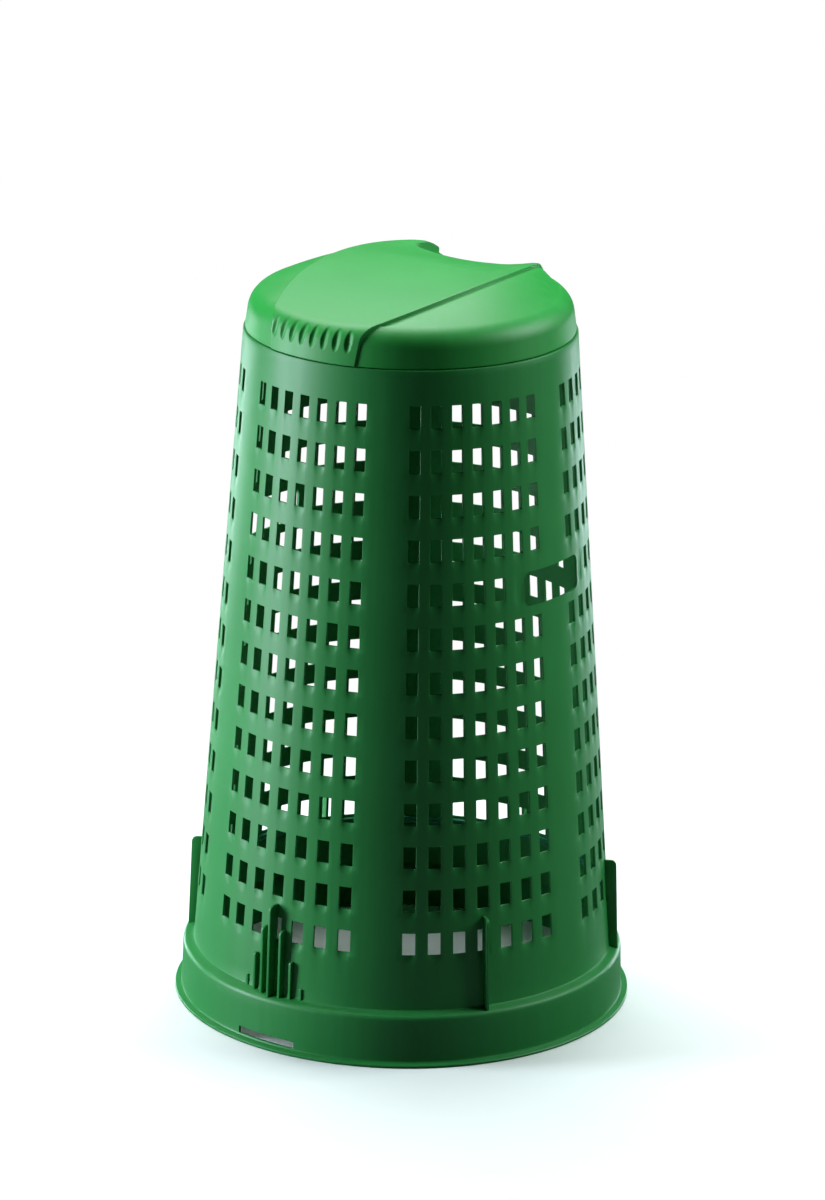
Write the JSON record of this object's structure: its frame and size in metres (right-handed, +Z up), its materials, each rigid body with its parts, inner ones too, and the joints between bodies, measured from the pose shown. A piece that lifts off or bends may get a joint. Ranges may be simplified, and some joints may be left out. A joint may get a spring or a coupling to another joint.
{
  "type": "garden sack holder",
  "caption": "Bottomless perforated cone that holds a garden waste sack, with a ring foot, hand grips and a hinged domed lid.",
  "frame": {"origin": "on the floor at the centre of the round foot", "axes": "+Z up; -Y the front with the slot and step ribs; +Y the lid's hinge; +/-X the hand grips"},
  "size_m": [0.4999, 0.5, 0.8165],
  "materials": {
    "body_plastic": "satin moulded polypropylene, garden green",
    "lid_plastic": "satin moulded polypropylene, garden green",
    "pin_plastic": "moulded polypropylene, garden green",
    "hoop_plastic": "moulded polypropylene, garden green"
  },
  "bodies": {
    "body": {"body": "body_plastic"},
    "lid": {"lid": "lid_plastic", "hinge_pin_right": "pin_plastic", "hinge_pin_left": "pin_plastic"},
    "hoop": {"sack_hoop": "hoop_plastic"}
  },
  "joints": [
    {"name": "lid_hinge", "type": "hinge", "parent": "body", "child": "lid", "pos_m": [0, 0.163, 0.76], "axis": [-1, 0, 0], "range_deg": [0, 100]},
    {"name": "hoop_slide", "type": "slide", "parent": "body", "child": "hoop", "axis": [0, 0, -1], "range_m": [0, 0.1]}
  ]
}
